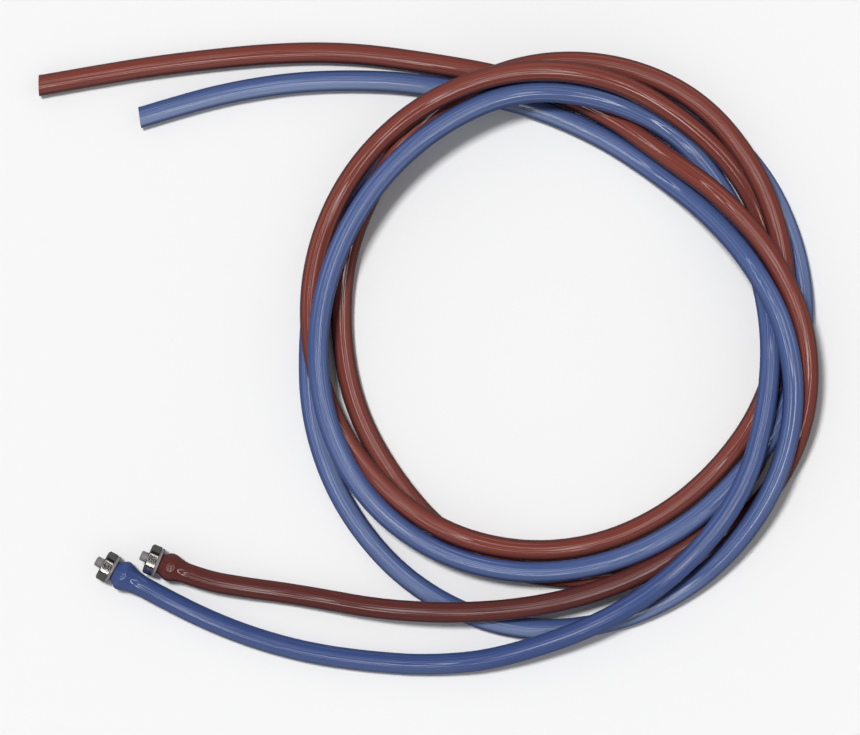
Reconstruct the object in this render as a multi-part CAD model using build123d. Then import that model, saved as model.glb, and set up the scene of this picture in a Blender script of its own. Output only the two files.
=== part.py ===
"""Cooling-water hose pair of an immersion wort chiller: two soft hoses coiled together, each with a swivel fitting."""
from build123d import *
import os
from math import cos, pi, radians, sin, tan

os.makedirs("parts", exist_ok=True)

# ---- driving dimensions, in millimetres -----------------------------------------------
HOSE_OUTER_R = 6.35  # half-inch hose with a three-eighths bore
HOSE_BORE_R = 4.75
HOSE_WALL = HOSE_OUTER_R - HOSE_BORE_R
FLOOR_Z = HOSE_OUTER_R  # height of a hose's centre line where it lies on the table

# The fitting, measured along its axis from the collar's rear face, where the hose starts.
# Positive is into the hose, negative towards the spigot.
COLLAR_R = 9.2
COLLAR_LENGTH = 1.8
COLLAR_EDGE = 0.3
NUT_FLATS = 18.0
NUT_LENGTH = 6.2
NUT_WEB = 2.0  # the nut's inward flange, which runs on the stem's journal
NUT_PLAY = 0.2  # end play of the nut on each side
NUT_FACE_R = 9.0  # where the turned chamfer that trims the hexagon's corners meets an end face
NUT_CHAMFER = 0.8
THREAD_MINOR_R = 5.72  # G 1/4
JOURNAL_R = 4.7
JOURNAL_PLAY = 0.05  # radial clearance of the web on the journal
SHOULDER_R = 5.4
SHOULDER_LENGTH = 1.8
SEAL_LENGTH = 1.2
SEAL_GAP = 0.6  # between the washer's hole and the spigot, so that a socket's wall fits between them
SPIGOT_R = 3.175  # quarter-inch spigot
SPIGOT_OUT = 4.7  # how far the spigot stands out of the nut
SPIGOT_EDGE = 0.7
STEM_BORE_R = 2.0
NECK_LENGTH = 2.6  # plain neck between the collar and the barb
BARB_FACE = 2.6  # length of the barb's steep face
BARB_LAND = 1.4
BARB_LENGTH = 12.0  # where the stem ends inside the hose
BARB_TIP_R = 4.2
MOUTH_R = 6.5  # outside of the hose where it meets the collar
MOUTH_SWELL = 0.3
BARB_GAP = 0.2  # between the stem and the stretched hose
BULGE_END = 14.0  # the hose is back at its own size from here on

BARB_CREST = NECK_LENGTH + BARB_FACE
NUT_REAR = -COLLAR_LENGTH - NUT_PLAY
NUT_FRONT = NUT_REAR - NUT_LENGTH
WEB_FRONT = NUT_REAR - NUT_WEB
SHOULDER_REAR = WEB_FRONT - NUT_PLAY
SHOULDER_FRONT = SHOULDER_REAR - SHOULDER_LENGTH
SEAL_FRONT = SHOULDER_FRONT - SEAL_LENGTH
SPIGOT_FRONT = NUT_FRONT - SPIGOT_OUT

# ---- where the hoses lie --------------------------------------------------------------
COIL_X, COIL_Y = 83.0, 14.0  # centre of the coil
STEP_DEG = 20  # a hose's route has one point for each step round the coil
ARC_SHARE = 0.45  # part of the shorter run that a corner's arc takes

# Each hose: where its fitting lies and points, the bulge's radius over the barb, the lead
# to the coil, the turns as (radius, height above the table) for each step round the coil
# from start_deg, and the tail to the bare end. All places are about the coil's centre.
HOSES = {
    "blue": dict(
        fitting=(-278, -147, 9.7),
        bearing_deg=-29.5,
        bulge_r=9.6,
        first_run=27,
        lead=[(-220, -178, 0), (-187, -190.5, 0), (-154, -199, 0), (-118, -204, 0), (-80, -206.5, 0)],
        start_deg=260,
        turns=[
            (205, 7), (181, 16), (163, 26), (150, 30), (137, 27), (132, 26),
            (132, 13), (137, 3), (147, 5), (151, 21), (155, 30), (151, 31),
            (149, 30), (149, 29), (152, 28), (156, 23), (159, 19), (157, 13),
            (152, 13), (147, 14), (144, 22), (144, 15), (150, 14), (154, 7),
            (159, 0), (164, 0), (165, 0), (163, 8), (157, 16), (153, 9),
            (154, 0), (158, 0), (157, 0), (165, 0), (174, 0), (183, 0),
            (188, 0), (185, 0), (178, 5), (168, 18), (156, 29), (142, 37),
            (128, 31), (120, 13), (119, 1), (129, 0), (149, 0),
        ],
        tail=[(-93, 158, 0), (-130, 159.5, 0), (-167, 158, 0), (-205, 152, 0), (-236, 144, 0), (-262, 136, 0)],
    ),
    "red": dict(
        fitting=(-249.3, -142.2, 12),
        bearing_deg=-22.5,
        bulge_r=8.85,
        first_run=27,
        lead=[(-197, -157.5, 4), (-164, -162, 0)],
        start_deg=240,
        turns=[
            (200, 10), (175, 16), (162, 13), (156, 15), (150, 2), (146, 0),
            (142, 0), (144, 0), (152, 7), (156, 17), (164, 31), (168, 37),
            (168, 34), (166, 19), (162, 13), (157, 15), (152, 9), (147, 10),
            (143, 15), (138, 6), (134, 0), (131, 0), (131, 0), (135, 10),
            (140, 14), (150, 14), (161, 18), (172, 17), (174, 16), (171, 19),
            (162, 21), (150, 16), (143, 4), (137, 0), (136, 0), (137, 0),
            (145, 0), (152, 0), (155, 0), (161, 0), (167, 1), (164, 18),
            (155, 26), (142, 28), (133, 27), (130, 11), (144, 0), (164, 0),
        ],
        tail=[
            (-105, 174, 0), (-143, 177, 0), (-180, 176, 0), (-217, 172.5, 0),
            (-254, 168, 0), (-291, 162, 0), (-325, 156, 0),
        ],
    ),
}


def fitting_plane(hose):
    """The plane of the collar's rear face: its normal points along the hose, its x up."""
    x, y, z = hose["fitting"]
    bearing = radians(hose["bearing_deg"])
    along = Vector(cos(bearing), sin(bearing), 0)
    return Plane(origin=(COIL_X + x, COIL_Y + y, z), x_dir=(0, 0, 1), z_dir=along)


def route(hose):
    """The hose's route from where its bulge ends to its bare end."""
    start = fitting_plane(hose)
    points = [start.origin + start.z_dir * BULGE_END, start.origin + start.z_dir * hose["first_run"]]
    places = list(hose["lead"])
    for step, (radius, up) in enumerate(hose["turns"]):
        angle = radians(hose["start_deg"] + STEP_DEG * step)
        places.append((radius * cos(angle), radius * sin(angle), up))
    places += hose["tail"]
    return points + [Vector(COIL_X + x, COIL_Y + y, FLOOR_Z + up) for x, y, up in places]


def corner_radii(points):
    """The largest arc that the two runs at each corner allow."""
    radii = []
    for before, corner, after in zip(points, points[1:], points[2:]):
        one, two = corner - before, after - corner
        half_turn = radians(one.get_angle(two)) / 2
        radii.append(ARC_SHARE * min(one.length, two.length) / tan(half_turn))
    return radii


def turned(profile):
    """A solid of revolution about Z from its outline of (distance along, radius)."""
    outline = Polyline(*[(radius, 0, along) for along, radius in profile], close=True)
    return revolve(make_face(outline), Axis.Z)


def make_hose(hose):
    """The soft tube: its stretched mouth over the barb, and the free length behind it."""
    outside = [
        (0, MOUTH_R),
        (NECK_LENGTH, MOUTH_R + MOUTH_SWELL),
        (BARB_CREST, hose["bulge_r"]),
        (BARB_CREST + BARB_LAND, hose["bulge_r"]),
        (BULGE_END, HOSE_OUTER_R),
    ]
    inside = [(along, radius - HOSE_WALL) for along, radius in reversed(outside)]
    mouth = fitting_plane(hose).location * turned(outside + inside)

    points = route(hose)
    radii = corner_radii(points)
    path = FilletPolyline(*points, radius=radii)
    section = Plane(origin=path @ 0, z_dir=path % 0) * (Circle(HOSE_OUTER_R) - Circle(HOSE_BORE_R))
    free = sweep(section, path=path)
    expected = path.length * pi * (HOSE_OUTER_R**2 - HOSE_BORE_R**2)
    print("  corner radii:", " ".join(str(round(radius)) for radius in radii))
    print(f"  length {path.length + BULGE_END:.0f}, volume {free.volume / expected:.4f} of section times length")
    return mouth + free


def make_stem(hose):
    """The moulded stem: spigot, shoulder that keeps the nut on, journal, and barb."""
    crest_r = hose["bulge_r"] - HOSE_WALL - BARB_GAP
    return turned([
        (SPIGOT_FRONT, STEM_BORE_R),
        (SPIGOT_FRONT, SPIGOT_R - SPIGOT_EDGE),
        (SPIGOT_FRONT + SPIGOT_EDGE, SPIGOT_R),
        (SHOULDER_FRONT, SPIGOT_R),
        (SHOULDER_FRONT, SHOULDER_R),
        (SHOULDER_REAR, SHOULDER_R),
        (SHOULDER_REAR, JOURNAL_R),
        (NECK_LENGTH, JOURNAL_R),
        (BARB_CREST, crest_r),
        (BARB_CREST + BARB_LAND, crest_r),
        (BARB_LENGTH, BARB_TIP_R),
        (BARB_LENGTH, STEM_BORE_R),
    ])


def make_collar():
    """The ring behind the nut, which the hose butts against."""
    return turned([
        (-COLLAR_LENGTH, JOURNAL_R),
        (-COLLAR_LENGTH, COLLAR_R - COLLAR_EDGE),
        (-COLLAR_LENGTH + COLLAR_EDGE, COLLAR_R),
        (-COLLAR_EDGE, COLLAR_R),
        (0, COLLAR_R - COLLAR_EDGE),
        (0, JOURNAL_R),
    ])


def make_nut():
    """The hexagon union nut: threaded at the front, with a web behind that runs on the journal."""
    hexagon = RegularPolygon(NUT_FLATS / 2, 6, major_radius=False, rotation=30)
    blank = Pos(0, 0, NUT_FRONT) * extrude(hexagon, NUT_LENGTH)
    corner_r = NUT_FLATS  # anything past the corners
    slope = (corner_r - NUT_FACE_R) * NUT_CHAMFER / (NUT_FLATS / 2 / cos(pi / 6) - NUT_FACE_R)
    cone = turned([
        (NUT_FRONT, 0),
        (NUT_FRONT, NUT_FACE_R),
        (NUT_FRONT + slope, corner_r),
        (NUT_REAR - slope, corner_r),
        (NUT_REAR, NUT_FACE_R),
        (NUT_REAR, 0),
    ])
    bore = turned([
        (NUT_FRONT, 0),
        (NUT_FRONT, THREAD_MINOR_R),
        (WEB_FRONT, THREAD_MINOR_R),
        (WEB_FRONT, JOURNAL_R + JOURNAL_PLAY),
        (NUT_REAR, JOURNAL_R + JOURNAL_PLAY),
        (NUT_REAR, 0),
    ])
    return (blank & cone) - bore


def make_seal():
    """The flat rubber washer in front of the shoulder."""
    inner_r = SPIGOT_R + SEAL_GAP
    return turned([
        (SEAL_FRONT, inner_r),
        (SEAL_FRONT, SHOULDER_R),
        (SHOULDER_FRONT, SHOULDER_R),
        (SHOULDER_FRONT, inner_r),
    ])


for colour, hose in HOSES.items():
    print(colour)
    place = fitting_plane(hose).location
    pieces = {
        "hose": make_hose(hose),
        "barb_stem": place * make_stem(hose),
        "collar": place * make_collar(),
        "union_nut": place * make_nut(),
        "face_seal": place * make_seal(),
    }
    for piece, solid in pieces.items():
        export_step(solid, f"parts/{colour}_{piece}.step")
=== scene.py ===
"""Looks of a wort chiller's hose pair: two soft hoses coiled together, each with a swivel nut fitting."""

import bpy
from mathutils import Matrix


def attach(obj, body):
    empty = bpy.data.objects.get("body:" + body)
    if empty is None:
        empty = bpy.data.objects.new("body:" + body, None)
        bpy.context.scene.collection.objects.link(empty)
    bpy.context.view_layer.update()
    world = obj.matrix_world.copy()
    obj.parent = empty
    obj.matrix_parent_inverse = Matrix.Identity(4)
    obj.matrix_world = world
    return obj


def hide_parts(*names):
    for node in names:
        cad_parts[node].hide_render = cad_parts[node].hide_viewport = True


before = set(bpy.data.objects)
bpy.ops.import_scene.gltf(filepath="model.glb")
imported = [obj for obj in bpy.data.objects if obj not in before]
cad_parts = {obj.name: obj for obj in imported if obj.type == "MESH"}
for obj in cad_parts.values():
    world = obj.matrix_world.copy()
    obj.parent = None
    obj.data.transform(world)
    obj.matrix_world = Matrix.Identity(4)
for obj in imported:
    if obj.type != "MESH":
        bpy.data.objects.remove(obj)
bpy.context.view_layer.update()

from math import atan2, cos, pi, radians, sin, sqrt, tau

import bpy
import numpy as np
from mathutils import Matrix, Vector

MM = 0.001  # the numbers below are millimetres, as in the CAD source

# ---- the hose and its fitting, measured along the fitting's axis from the collar's rear face ----
HOSE_R = 6.35
HOSE_WALL = 1.6
COIL_X, COIL_Y = 83.0, 14.0
FLOOR_Z = HOSE_R
STEP_DEG = 20
THREAD_MINOR_R = 5.72
THREAD_MAJOR_R = 6.58
THREAD_PITCH = 1.337
JOURNAL_R = 4.7
SPIGOT_R = 3.175
BORE_R = 2.0
SHOULDER_R = 5.4
SEAL_HOLE_R = 3.775
COLLAR_R = 9.2
NUT_FRONT, NUT_WEB, NUT_REAR = -8.2, -4.0, -2.0
NUT_FLATS = 18.0
SPIGOT_FRONT, SEAL_FRONT, SHOULDER_FRONT, SHOULDER_REAR = -12.9, -7.2, -6.0, -4.2
COLLAR_FRONT = -1.8

# Each hose: the same route as in the CAD, about the coil's centre, with heights above the
# table, and the outside of its mouth as (distance, radius) where the barb stretches it.
HOSES = {
    "blue": dict(
        fitting=(-278, -147, 9.7),
        bearing_deg=-29.5,
        first_run=27,
        lead=[
            (-220, -178, 0), (-187, -190.5, 0), (-154, -199, 0),
            (-118, -204, 0), (-80, -206.5, 0),
        ],
        start_deg=260,
        turns=[
            (205, 7), (181, 16), (163, 26), (150, 30), (137, 27), (132, 26),
            (132, 13), (137, 3), (147, 5), (151, 21), (155, 30), (151, 31),
            (149, 30), (149, 29), (152, 28), (156, 23), (159, 19), (157, 13),
            (152, 13), (147, 14), (144, 22), (144, 15), (150, 14), (154, 7),
            (159, 0), (164, 0), (165, 0), (163, 8), (157, 16), (153, 9),
            (154, 0), (158, 0), (157, 0), (165, 0), (174, 0), (183, 0),
            (188, 0), (185, 0), (178, 5), (168, 18), (156, 29), (142, 37),
            (128, 31), (120, 13), (119, 1), (129, 0), (149, 0),
        ],
        tail=[
            (-93, 158, 0), (-130, 159.5, 0), (-167, 158, 0),
            (-205, 152, 0), (-236, 144, 0), (-262, 136, 0),
        ],
        mouth=[
            (0, 6.4), (1.5, 6.8), (5.2, 9.3), (6.4, 9.6),
            (7.6, 9.4), (12.0, 7.8), (16.5, 6.9), (23, 6.5),
        ],
        barb_crest_r=7.8,
        length=2.98,
    ),
    "red": dict(
        fitting=(-249.3, -142.2, 12),
        bearing_deg=-22.5,
        first_run=27,
        lead=[(-197, -157.5, 4), (-164, -162, 0)],
        start_deg=240,
        turns=[
            (200, 10), (175, 16), (162, 13), (156, 15), (150, 2), (146, 0),
            (142, 0), (144, 0), (152, 7), (156, 17), (164, 31), (168, 37),
            (168, 34), (166, 19), (162, 13), (157, 15), (152, 9), (147, 10),
            (143, 15), (138, 6), (134, 0), (131, 0), (131, 0), (135, 10),
            (140, 14), (150, 14), (161, 18), (172, 17), (174, 16), (171, 19),
            (162, 21), (150, 16), (143, 4), (137, 0), (136, 0), (137, 0),
            (145, 0), (152, 0), (155, 0), (161, 0), (167, 1), (164, 18),
            (155, 26), (142, 28), (133, 27), (130, 11), (144, 0), (164, 0),
        ],
        tail=[
            (-105, 174, 0), (-143, 177, 0), (-180, 176, 0), (-217, 172.5, 0),
            (-254, 168, 0), (-291, 162, 0), (-325, 156, 0),
        ],
        mouth=[
            (0, 6.4), (2.0, 6.8), (4.4, 8.3), (6.6, 8.8),
            (9.0, 8.6), (12.0, 7.6), (15.0, 6.9), (19, 6.5),
        ],
        barb_crest_r=7.05,
        length=2.95,
    ),
}


# ---- camera, stage and light --------------------------------------------------------------
VIEW_X, VIEW_Y = 2.4 * MM, -6.2 * MM
VIEW_HEIGHT = 4.0
VIEW_WIDTH = 0.5385  # what the picture's width takes in at the table
SENSOR = 36.0


def make_camera():
    data = bpy.data.cameras.new("camera")
    data.sensor_width = SENSOR
    data.lens = SENSOR * VIEW_HEIGHT / VIEW_WIDTH
    camera = bpy.data.objects.new("camera", data)
    camera.location = (VIEW_X, VIEW_Y, VIEW_HEIGHT)
    bpy.context.scene.collection.objects.link(camera)
    bpy.context.scene.camera = camera


def aim(lamp, place, target=(0.05, 0, 0)):
    lamp.location = place
    lamp.rotation_euler = (Vector(target) - Vector(place)).to_track_quat("-Z", "Y").to_euler()
    lamp.visible_camera = False
    bpy.context.scene.collection.objects.link(lamp)


def make_lights():
    """A soft sun from the upper left for the shadows, and overhead panels for the highlights."""
    sun = bpy.data.lights.new("key", "SUN")
    sun.energy = 2.30
    sun.angle = radians(9)
    key = bpy.data.objects.new("key", sun)
    key.visible_glossy = False
    aim(key, (-0.46, 0.55, 2.6))
    panels = {
        "panel_top": ((0.10, 0.05, 1.6), 0.30, 0.5),
        "panel_left": ((-0.70, 0.30, 1.5), 0.20, 0.3),
        "panel_low": ((0.35, -0.85, 1.5), 0.20, 0.3),
        "panel_right": ((0.80, 0.35, 1.4), 0.20, 0.3),
    }
    for name, (place, size, power) in panels.items():
        light = bpy.data.lights.new(name, "AREA")
        light.shape = "DISK"
        light.size = size
        light.energy = power
        panel = bpy.data.objects.new(name, light)
        panel.visible_diffuse = False
        aim(panel, place)


# What shiny surfaces see overhead, as (height on the unit sphere, grey): a ring is a pair of bright stops.
CEILING = [
    (0.45, 0.12), (0.62, 0.05), (0.84, 0.05), (0.85, 9.0), (0.872, 9.0),
    (0.88, 0.05), (0.955, 0.05), (0.962, 8.0), (0.974, 8.0), (0.981, 0.07),
]
FILL = 0.31


def make_world():
    """A pale room. Shiny surfaces see a dark ceiling with two rings of light instead."""
    world = bpy.data.worlds.new("room")
    world.use_nodes = True
    bpy.context.scene.world = world
    tree = world.node_tree
    tree.nodes.clear()
    new, link = tree.nodes.new, tree.links.new
    rays = new("ShaderNodeLightPath")
    place = new("ShaderNodeTexCoord")
    parts = new("ShaderNodeSeparateXYZ")
    ramp = new("ShaderNodeValToRGB")
    fill = new("ShaderNodeBackground")
    mirror = new("ShaderNodeBackground")
    backdrop = new("ShaderNodeBackground")
    glossy = new("ShaderNodeMixShader")
    seen = new("ShaderNodeMixShader")
    out = new("ShaderNodeOutputWorld")
    stops = ramp.color_ramp
    stops.elements[0].position, stops.elements[0].color = 0.0, (0.20, 0.19, 0.19, 1)
    stops.elements[1].position, stops.elements[1].color = 1.0, (0.07, 0.07, 0.07, 1)
    for position, grey in CEILING:
        stops.elements.new(position).color = (grey, grey * 0.99, grey * 0.97, 1)
    fill.inputs["Color"].default_value = (1.0, 1.0, 1.0, 1)
    fill.inputs["Strength"].default_value = FILL
    backdrop.inputs["Color"].default_value = (0.93, 0.93, 0.93, 1)
    link(place.outputs["Generated"], parts.inputs["Vector"])
    link(parts.outputs["Z"], ramp.inputs["Fac"])
    link(ramp.outputs["Color"], mirror.inputs["Color"])
    link(remap(tree, parts.outputs["Y"], -0.5, 0.5, 1.5, 0.4), mirror.inputs["Strength"])
    link(rays.outputs["Is Glossy Ray"], glossy.inputs["Fac"])
    link(fill.outputs["Background"], glossy.inputs[1])
    link(mirror.outputs["Background"], glossy.inputs[2])
    link(rays.outputs["Is Camera Ray"], seen.inputs["Fac"])
    link(glossy.outputs["Shader"], seen.inputs[1])
    link(backdrop.outputs["Background"], seen.inputs[2])
    link(seen.outputs["Shader"], out.inputs["Surface"])


FLOOR_HALF = 6.0
PAPER = (0.93, 0.93, 0.93, 1)
PAPER_MIRRORED = (0.20, 0.20, 0.20, 1)


def make_floor():
    """White paper, which shiny surfaces see as dark, so that the hoses' edges stay dark."""
    corners = [(x * FLOOR_HALF, y * FLOOR_HALF, 0) for x, y in ((-1, -1), (1, -1), (1, 1), (-1, 1))]
    mesh = bpy.data.meshes.new("floor")
    mesh.from_pydata(corners, [], [(0, 1, 2, 3)])
    floor = bpy.data.objects.new("floor", mesh)
    bpy.context.scene.collection.objects.link(floor)
    material, shader = new_material("floor_paper")
    shader.inputs["Roughness"].default_value = 0.9
    shader.inputs["Specular IOR Level"].default_value = 0.0
    tree = material.node_tree
    rays = tree.nodes.new("ShaderNodeLightPath")
    paper = mix_colour(tree, rays.outputs["Is Glossy Ray"], PAPER, PAPER_MIRRORED)
    tree.links.new(paper, shader.inputs["Base Color"])
    mesh.materials.append(material)


# ---- materials ------------------------------------------------------------------------------
def new_material(name):
    material = bpy.data.materials.new(name)
    material.use_nodes = True
    return material, material.node_tree.nodes["Principled BSDF"]


def mix_colour(tree, factor, one, two):
    """The output of a colour mix; factor, one and two are sockets or plain values."""
    node = tree.nodes.new("ShaderNodeMix")
    node.data_type = "RGBA"
    for socket, value in ((node.inputs[0], factor), (node.inputs[6], one), (node.inputs[7], two)):
        if isinstance(value, bpy.types.NodeSocket):
            tree.links.new(value, socket)
        else:
            socket.default_value = value
    return node.outputs[2]


def noise(tree, vector, scale, detail=2.0, roughness=0.5):
    node = tree.nodes.new("ShaderNodeTexNoise")
    node.inputs["Scale"].default_value = scale
    node.inputs["Detail"].default_value = detail
    node.inputs["Roughness"].default_value = roughness
    tree.links.new(vector, node.inputs["Vector"])
    return node.outputs["Fac"]


def remap(tree, value, low, high, to_low, to_high, smooth=False):
    node = tree.nodes.new("ShaderNodeMapRange")
    if smooth:
        node.interpolation_type = "SMOOTHSTEP"
    ends = dict(zip(("From Min", "From Max", "To Min", "To Max"), (low, high, to_low, to_high)))
    for name, end in ends.items():
        node.inputs[name].default_value = end
    tree.links.new(value, node.inputs["Value"])
    return node.outputs["Result"]


def bump(tree, shader, height, strength, distance):
    node = tree.nodes.new("ShaderNodeBump")
    node.inputs["Strength"].default_value = strength
    node.inputs["Distance"].default_value = distance
    tree.links.new(height, node.inputs["Height"])
    tree.links.new(node.outputs["Normal"], shader.inputs["Normal"])


def object_space(tree):
    return tree.nodes.new("ShaderNodeTexCoord").outputs["Object"]


def vinyl(name, deep_and_flank_shade, body, glow, clear, painted_streak):
    """Soft tinted PVC with die lines, its colour painted with light and shade: painted shade darkens the
    tube's sides, a painted light band lies where light would come through, and thin painted highlights run
    along it.
    """
    material, shader = new_material(name)
    tree = material.node_tree
    lay = tree.nodes.new("ShaderNodeAttribute")
    lay.attribute_name = "lay"
    depth = tree.nodes.new("ShaderNodeAttribute")
    depth.attribute_name = "depth"
    through = tree.nodes.new("ShaderNodeAttribute")
    through.attribute_name = "through"
    lines = noise(tree, lay.outputs["Vector"], 5.0, 4.0, 0.6)
    ridges = noise(tree, lay.outputs["Vector"], 12.0, 2.0, 0.5)
    cloud = noise(tree, object_space(tree), 24.0, 2.0)
    lit = mix_colour(tree, remap(tree, lines, 0.35, 0.7, 0.0, 0.35), body, glow)
    tone = mix_colour(tree, remap(tree, cloud, 0.35, 0.7, 0.0, 0.15), lit, glow)
    # painted light: lighter where the through attribute marks light coming through the tube, on the side
    # away from the key light near the table
    with_painted_light = mix_colour(tree, through.outputs["Fac"], tone, clear)
    # painted highlight: thin lighter lines along the hose stand in for the lights' shine on it
    streak_highlight_mask = noise(tree, lay.outputs["Vector"], 13.0, 1.0, 0.4)
    with_painted_streaks = mix_colour(tree, remap(tree, streak_highlight_mask, 0.59, 0.66, 0.0, 0.5, smooth=True), with_painted_light, painted_streak)
    # painted shade: darker at the tube's sides by the depth attribute, which also holds the deeper colour
    # beside the fitting
    colour = mix_colour(tree, depth.outputs["Fac"], with_painted_streaks, deep_and_flank_shade)
    tree.links.new(colour, shader.inputs["Base Color"])
    tree.links.new(remap(tree, lines, 0.3, 0.7, 0.015, 0.05), shader.inputs["Roughness"])
    shader.inputs["IOR"].default_value = 1.40
    bump(tree, shader, ridges, 1.0, 0.000025)
    return material


PLASTIC_DARK = (0.19, 0.17, 0.175, 1)
PLASTIC_PALE = (0.27, 0.24, 0.25, 1)
METAL_BRIGHT = (0.44, 0.42, 0.405, 1)
METAL_DULL = (0.32, 0.30, 0.29, 1)
RUBBER_DARK = (0.010, 0.010, 0.011, 1)
RUBBER_PALE = (0.030, 0.029, 0.030, 1)


def moulded_plastic():
    material, shader = new_material("grey_moulded_plastic")
    tree = material.node_tree
    place = object_space(tree)
    grain = noise(tree, place, 2600.0, 2.0)
    cloud = noise(tree, place, 260.0, 2.0)
    share = remap(tree, cloud, 0.3, 0.7, 0, 1)
    colour = mix_colour(tree, share, PLASTIC_DARK, PLASTIC_PALE)
    tree.links.new(colour, shader.inputs["Base Color"])
    tree.links.new(remap(tree, grain, 0.3, 0.7, 0.42, 0.60), shader.inputs["Roughness"])
    bump(tree, shader, grain, 0.25, 0.00006)
    return material


def plated_metal():
    material, shader = new_material("bright_plated_metal")
    tree = material.node_tree
    place = object_space(tree)
    scratches = noise(tree, place, 1800.0, 3.0, 0.7)
    tarnish = noise(tree, place, 320.0, 2.0)
    share = remap(tree, tarnish, 0.35, 0.7, 0, 1)
    colour = mix_colour(tree, share, METAL_BRIGHT, METAL_DULL)
    tree.links.new(colour, shader.inputs["Base Color"])
    shader.inputs["Metallic"].default_value = 1.0
    tree.links.new(remap(tree, scratches, 0.3, 0.75, 0.10, 0.24), shader.inputs["Roughness"])
    bump(tree, shader, scratches, 0.10, 0.00004)
    return material


def black_rubber():
    material, shader = new_material("black_seal_rubber")
    tree = material.node_tree
    grain = noise(tree, object_space(tree), 3000.0, 2.0)
    colour = mix_colour(tree, grain, RUBBER_DARK, RUBBER_PALE)
    tree.links.new(colour, shader.inputs["Base Color"])
    tree.links.new(remap(tree, grain, 0.3, 0.7, 0.55, 0.8), shader.inputs["Roughness"])
    bump(tree, shader, grain, 0.3, 0.00005)
    return material


# ---- meshes -----------------------------------------------------------------------------------
def fitting_matrix(hose):
    """From the fitting's own frame (x up, z along the hose), in millimetres, to the row frame in metres."""
    x, y, z = hose["fitting"]
    bearing = radians(hose["bearing_deg"])
    along = Vector((cos(bearing), sin(bearing), 0))
    up = Vector((0, 0, 1))
    side = along.cross(up)
    turn = Matrix((up, side, along)).transposed().to_4x4()
    return Matrix.Translation(Vector((COIL_X + x, COIL_Y + y, z)) * MM) @ turn @ Matrix.Scale(MM, 4)


def link_mesh(name, vertices, faces, material, body, node):
    mesh = bpy.data.meshes.new(name)
    mesh.from_pydata(vertices, [], faces)
    mesh.validate()
    mesh.materials.append(material)
    mesh.polygons.foreach_set("use_smooth", [True] * len(mesh.polygons))
    mesh.set_sharp_from_angle(angle=radians(32))
    piece = bpy.data.objects.new(name, mesh)
    bpy.context.scene.collection.objects.link(piece)
    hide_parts(node)
    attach(piece, body)
    return piece


def bands(rings, count, closed):
    """Quads between neighbouring rings of count points; closed joins the last ring to the first."""
    faces = []
    for ring in range(rings if closed else rings - 1):
        one, two = ring * count, (ring + 1) % rings * count
        for step in range(count):
            after = (step + 1) % count
            faces.append((one + step, two + step, two + after, one + after))
    return faces


def rounded(profile, radius, steps=4):
    """The closed outline with each corner rounded as far as its two edges allow."""
    outline = []
    count = len(profile)
    for index, corner in enumerate(profile):
        here = Vector(corner)
        before = Vector(profile[index - 1]) - here
        after = Vector(profile[(index + 1) % count]) - here
        reach = min(radius, 0.4 * before.length, 0.4 * after.length)
        start = here + before.normalized() * reach
        end = here + after.normalized() * reach
        for step in range(steps + 1):
            share = step / steps
            outline.append((1 - share) ** 2 * start + 2 * share * (1 - share) * here + share**2 * end)
    return outline


def turned(profile, matrix, radius=0.25, count=72):
    """Vertices and faces of a solid of revolution from a closed outline of (along, radius)."""
    outline = rounded(profile, radius)
    vertices = []
    for along, distance in outline:
        for step in range(count):
            angle = tau * step / count
            vertices.append(matrix @ Vector((distance * cos(angle), distance * sin(angle), along)))
    return vertices, bands(len(outline), count, closed=True)


def smooth_radius(places, stops):
    """A smooth curve through (place, value) stops, held level past its ends."""
    x, y = np.array(stops, dtype=float).T
    slopes = np.gradient(y, x)
    slopes[0] = slopes[-1] = 0.0
    places = np.clip(places, x[0], x[-1])
    index = np.clip(np.searchsorted(x, places) - 1, 0, len(x) - 2)
    width = x[index + 1] - x[index]
    t = (places - x[index]) / width
    start = (1 + 2 * t) * (1 - t) ** 2 * y[index] + t * (1 - t) ** 2 * width * slopes[index]
    end = t * t * (3 - 2 * t) * y[index + 1] + t * t * (t - 1) * width * slopes[index + 1]
    return start + end


# ---- hoses --------------------------------------------------------------------------------------
HOSE_SIDES = 36
CUT_SLANT = 1.0  # how far one side of the bare end stands out past the middle
CUT_LENGTH = 10.0
LIP, LIP_LENGTH = 0.18, 1.2  # the cut end flares by this much, over this length
EDGE_BREAK, EDGE_LENGTH = 0.25, 0.15  # and its very edge is broken
DARK_END = 0.75  # how much deeper the colour is beside the fitting
DARK_UNTIL, PALE_FROM = 250, 700  # where along the hose that begins and stops fading
PAINTED_LIGHT_HEIGHT = 9  # lifted this far off the table, a hose would get no painted light band; it always keeps 0.15 of it
LINE_STRETCH = 0.0006  # draws the die lines and the painted highlight lines out along the hose
# the painted light band lies on the side of the tube facing this way, away from the key light
AWAY_FROM_KEY = np.array([0.66, -0.75, 0.0])


def eased(values, low, high):
    share = np.clip((values - low) / (high - low), 0, 1)
    return share * share * (3 - 2 * share)


def route(hose):
    """The hose's control points, in metres, from the collar's rear face to its bare end."""
    x, y, z = hose["fitting"]
    bearing = radians(hose["bearing_deg"])
    start = Vector((COIL_X + x, COIL_Y + y, z))
    points = [start, start + Vector((cos(bearing), sin(bearing), 0)) * hose["first_run"]]
    places = list(hose["lead"])
    for step, (radius, up) in enumerate(hose["turns"]):
        angle = radians(hose["start_deg"] + STEP_DEG * step)
        places.append((radius * cos(angle), radius * sin(angle), up))
    places += hose["tail"]
    points += [Vector((COIL_X + x, COIL_Y + y, FLOOR_Z + up)) for x, y, up in places]
    return [point * MM for point in points]


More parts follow.
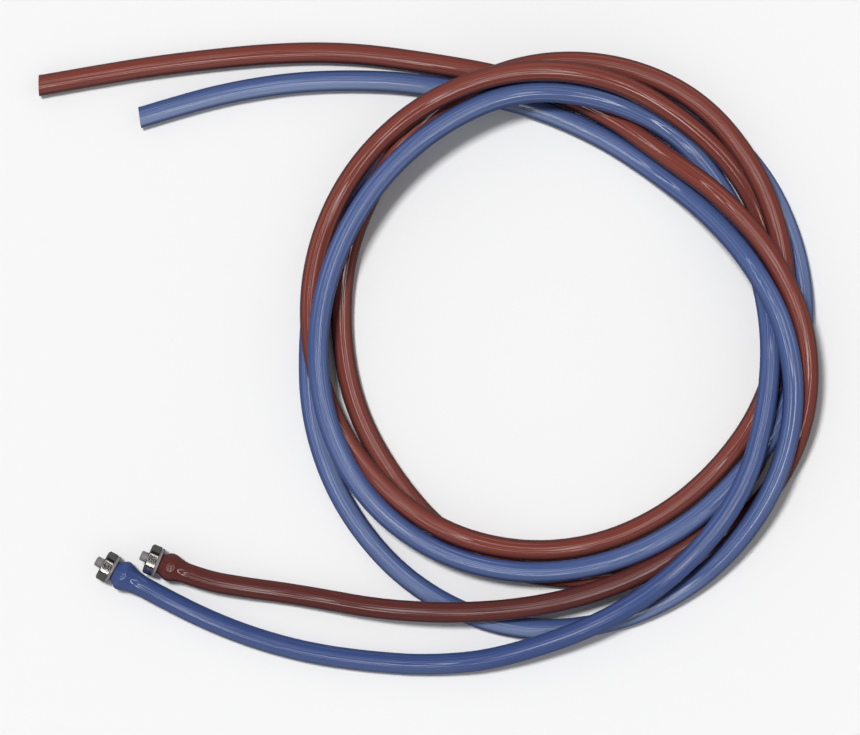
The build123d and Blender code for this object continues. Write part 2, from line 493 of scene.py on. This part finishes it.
def read_line(name, points):
    """The points of the smooth curve that the route's points control."""
    curve = bpy.data.curves.new(name, "CURVE")
    curve.dimensions = "3D"
    curve.resolution_u = 24
    spline = curve.splines.new("NURBS")
    spline.points.add(len(points) - 1)
    for knot, point in zip(spline.points, points):
        knot.co = (*point, 1.0)
    spline.order_u = 3
    spline.use_endpoint_u = True
    holder = bpy.data.objects.new(name, curve)
    mesh = bpy.data.meshes.new_from_object(holder)
    line = np.array([vertex.co[:] for vertex in mesh.vertices])
    bpy.data.objects.remove(holder)
    bpy.data.curves.remove(curve)
    bpy.data.meshes.remove(mesh)
    return line


def stations(length):
    """Where the hose's rings lie along it, in millimetres: close at the mouth and at the cut end."""
    mouth = np.arange(0, 20, 0.6)
    free = np.linspace(20, length - CUT_LENGTH, int(length / 3.2))
    cut = length - np.array([9, 7, 5, 3.5, 2.2, 1.2, 0.6, 0.2, 0.0])
    return np.concatenate([mouth, free, cut])


def make_hose(colour, hose, material):
    line = read_line(f"{colour}_route", route(hose))
    travelled = np.concatenate([[0], np.cumsum(np.linalg.norm(np.diff(line, axis=0), axis=1))]) / MM
    places = stations(travelled[-1])
    centres = np.stack([np.interp(places, travelled, line[:, axis]) for axis in range(3)], axis=1)
    tangents = np.gradient(centres, places, axis=0)
    tangents /= np.linalg.norm(tangents, axis=1)[:, None]
    side = np.cross([0, 0, 1], tangents)
    side /= np.linalg.norm(side, axis=1)[:, None]
    up = np.cross(tangents, side)

    radii = smooth_radius(places, hose["mouth"])
    from_end = travelled[-1] - places
    outer = radii + LIP * np.exp(-from_end / LIP_LENGTH) - EDGE_BREAK * np.exp(-from_end / EDGE_LENGTH)
    inner = radii - HOSE_WALL
    slant = CUT_SLANT * np.clip(1 - from_end / CUT_LENGTH, 0, 1) ** 2

    dark_end = DARK_END * (1 - eased(places, DARK_UNTIL, PALE_FROM))
    # how much of the painted light band a ring gets for its height above the table
    painted_light_near_table = np.clip(1 - (centres[:, 2] / MM - FLOOR_Z) / PAINTED_LIGHT_HEIGHT, 0.15, 1)
    vertices, lay, depth, through = [], [], [], []
    angles = tau * np.arange(HOSE_SIDES) / HOSE_SIDES
    # painted shade: the colour deepens towards the tube's sides
    flank_shade = eased(np.abs(np.sin(angles)), 0.60, 0.97)
    walls = [(outer[i], i) for i in range(len(places))]
    walls += [(inner[i], i) for i in reversed(range(len(places)))]
    for radius, i in walls:
        out = np.outer(np.cos(angles), up[i]) + np.outer(np.sin(angles), side[i])
        ring = centres[i] + (radius * out + np.outer(slant[i] * np.sin(angles), tangents[i])) * MM
        ring[:, 2] = np.maximum(ring[:, 2], 0)
        drawn_out = np.full(HOSE_SIDES, places[i] * LINE_STRETCH)
        shape = np.stack([np.cos(angles), np.sin(angles), drawn_out], axis=1)
        vertices.extend(ring.tolist())
        lay.extend(shape.tolist())
        # the depth attribute: the larger of the painted side shade and the deeper colour beside the fitting
        depth.extend(np.maximum(flank_shade, dark_end[i]).tolist())
        # painted light: a lighter band on the side facing away from the key light, fading as the hose lifts
        # off the table
        through.extend((painted_light_near_table[i] * eased(out @ AWAY_FROM_KEY, -0.25, 0.6)).tolist())
    faces = bands(len(walls), HOSE_SIDES, closed=True)
    name, slot, node = f"{colour}_hose_tube", f"{colour}_vinyl", f"{colour}_hose"
    piece = link_mesh(name, vertices, faces, material, "root", node)
    attributes = piece.data.attributes
    attributes.new("lay", "FLOAT_VECTOR", "POINT").data.foreach_set("vector", np.ravel(lay))
    attributes.new("depth", "FLOAT", "POINT").data.foreach_set("value", depth)
    attributes.new("through", "FLOAT", "POINT").data.foreach_set("value", through)


# ---- fittings ------------------------------------------------------------------------------------
def make_stem(colour, hose, material, matrix):
    crest = hose["barb_crest_r"]
    profile = [
        (SPIGOT_FRONT, BORE_R),
        (SPIGOT_FRONT, SPIGOT_R - 0.7),
        (SPIGOT_FRONT + 0.7, SPIGOT_R),
        (SHOULDER_FRONT, SPIGOT_R),
        (SHOULDER_FRONT, SHOULDER_R),
        (SHOULDER_REAR, SHOULDER_R),
        (SHOULDER_REAR, JOURNAL_R),
        (2.6, JOURNAL_R),
        (5.2, crest),
        (6.6, crest),
        (12.0, 4.2),
        (12.0, BORE_R),
    ]
    vertices, faces = turned(profile, matrix, radius=0.35)
    name, node = f"{colour}_stem_moulding", f"{colour}_barb_stem"
    link_mesh(name, vertices, faces, material, "root", node)


def make_collar(colour, material, matrix):
    profile = [(COLLAR_FRONT, JOURNAL_R), (COLLAR_FRONT, COLLAR_R), (0, COLLAR_R), (0, JOURNAL_R)]
    vertices, faces = turned(profile, matrix, radius=0.4)
    name, node = f"{colour}_collar_ring", f"{colour}_collar"
    link_mesh(name, vertices, faces, material, "root", node)


def make_seal(colour, material, matrix):
    profile = [
        (SEAL_FRONT, SEAL_HOLE_R),
        (SEAL_FRONT, SHOULDER_R),
        (SHOULDER_FRONT, SHOULDER_R),
        (SHOULDER_FRONT, SEAL_HOLE_R),
    ]
    vertices, faces = turned(profile, matrix, radius=0.3)
    name, node = f"{colour}_seal_washer", f"{colour}_face_seal"
    link_mesh(name, vertices, faces, material, "root", node)


NUT_SIDES = 144
NUT_CROWN = 3.2  # the radius its corners are rounded to
NUT_SWELL = 0.3  # how far the middle of a flat stands out past its edges
FRONT_CHAMFER = 1.5
REAR_CHAMFER = 0.5


def hexagon_radius(angle):
    """The nut's outline at an angle from a flat's middle, with crowned flats and rounded corners."""
    turn = (angle + pi / 6) % (pi / 3) - pi / 6
    flat = NUT_FLATS / 2 - NUT_SWELL * (turn * 6 / pi) ** 2
    sharp = flat / cos(turn)
    centre = (flat - NUT_CROWN) / cos(pi / 6)
    off = pi / 6 - abs(turn)
    along = centre * cos(off)
    across = centre * sin(off)
    crowned = along + sqrt(max(NUT_CROWN**2 - across**2, 0))
    return min(sharp, crowned) if abs(turn) > atan2(centre * sin(pi / 6), flat) else sharp


def make_nut(colour, material, matrix):
    """The union nut: chamfered hexagon outside, a cut thread and the web's plain bore inside."""
    outside = []
    for along in np.concatenate([
        np.linspace(NUT_FRONT, NUT_FRONT + FRONT_CHAMFER, 10),
        np.linspace(NUT_FRONT + FRONT_CHAMFER, NUT_REAR - REAR_CHAMFER, 6)[1:-1],
        np.linspace(NUT_REAR - REAR_CHAMFER, NUT_REAR, 5),
    ]):
        front = (along - NUT_FRONT) / FRONT_CHAMFER
        rear = (NUT_REAR - along) / REAR_CHAMFER
        cone = min(8.5 + 1.95 * front, 9.3 + 1.1 * rear)
        radii = [hexagon_radius(tau * step / NUT_SIDES) for step in range(NUT_SIDES)]
        outside.append([(min(radius, cone), along) for radius in radii])
    inside = [[(JOURNAL_R + 0.05, NUT_REAR)] * NUT_SIDES, [(JOURNAL_R + 0.05, NUT_WEB)] * NUT_SIDES]
    depth = THREAD_MAJOR_R - THREAD_MINOR_R
    for along in np.linspace(NUT_WEB, NUT_FRONT, 44):
        ring = []
        lead_in = max(0.0, 1 - (along - NUT_FRONT) / 0.7)
        for step in range(NUT_SIDES):
            phase = (along / THREAD_PITCH - step / NUT_SIDES) % 1
            ridge = min(1.0, max(0.0, 3 * abs(phase - 0.5) - 0.25))
            ring.append((max(THREAD_MINOR_R + depth * ridge, THREAD_MINOR_R + depth * lead_in), along))
        inside.append(ring)
    vertices = []
    for ring in outside + inside:
        for step, (distance, along) in enumerate(ring):
            angle = tau * step / NUT_SIDES
            vertices.append(matrix @ Vector((distance * cos(angle), distance * sin(angle), along)))
    faces = bands(len(outside) + len(inside), NUT_SIDES, closed=True)
    name, node = f"{colour}_nut_shell", f"{colour}_union_nut"
    link_mesh(name, vertices, faces, material, f"{colour}_nut", node)


# ---- the scene -----------------------------------------------------------------------------------
# Of each hose's five colours, the first is painted shade at the tube's sides and the deeper colour beside
# the fitting, the fourth is painted light coming through the tube, and the fifth is a painted highlight;
# the second and third are the vinyl's own tones.
BLUE_DEEP_AND_FLANK_SHADE = (0.040, 0.070, 0.215, 1)
BLUE_BODY = (0.066, 0.104, 0.262, 1)
BLUE_GLOW = (0.120, 0.170, 0.350, 1)
BLUE_PAINTED_LIGHT_THROUGH = (0.230, 0.295, 0.470, 1)
BLUE_PAINTED_STREAK = (0.300, 0.370, 0.620, 1)
RED_DEEP_AND_FLANK_SHADE = (0.085, 0.024, 0.024, 1)
RED_BODY = (0.185, 0.044, 0.034, 1)
RED_GLOW = (0.260, 0.066, 0.050, 1)
RED_PAINTED_LIGHT_THROUGH = (0.215, 0.060, 0.050, 1)
RED_PAINTED_STREAK = (0.400, 0.150, 0.115, 1)

bpy.context.scene.view_settings.view_transform = "Standard"
make_camera()
VINYLS = {
    "blue": vinyl("blue_vinyl", BLUE_DEEP_AND_FLANK_SHADE, BLUE_BODY, BLUE_GLOW, BLUE_PAINTED_LIGHT_THROUGH, BLUE_PAINTED_STREAK),
    "red": vinyl("red_vinyl", RED_DEEP_AND_FLANK_SHADE, RED_BODY, RED_GLOW, RED_PAINTED_LIGHT_THROUGH, RED_PAINTED_STREAK),
}
for colour, hose in HOSES.items():
    make_hose(colour, hose, VINYLS[colour])
plastic, metal, rubber = moulded_plastic(), plated_metal(), black_rubber()
for colour, hose in HOSES.items():
    matrix = fitting_matrix(hose)
    make_stem(colour, hose, plastic, matrix)
    make_collar(colour, plastic, matrix)
    make_seal(colour, rubber, matrix)
    make_nut(colour, metal, matrix)
make_lights()
make_world()
make_floor()
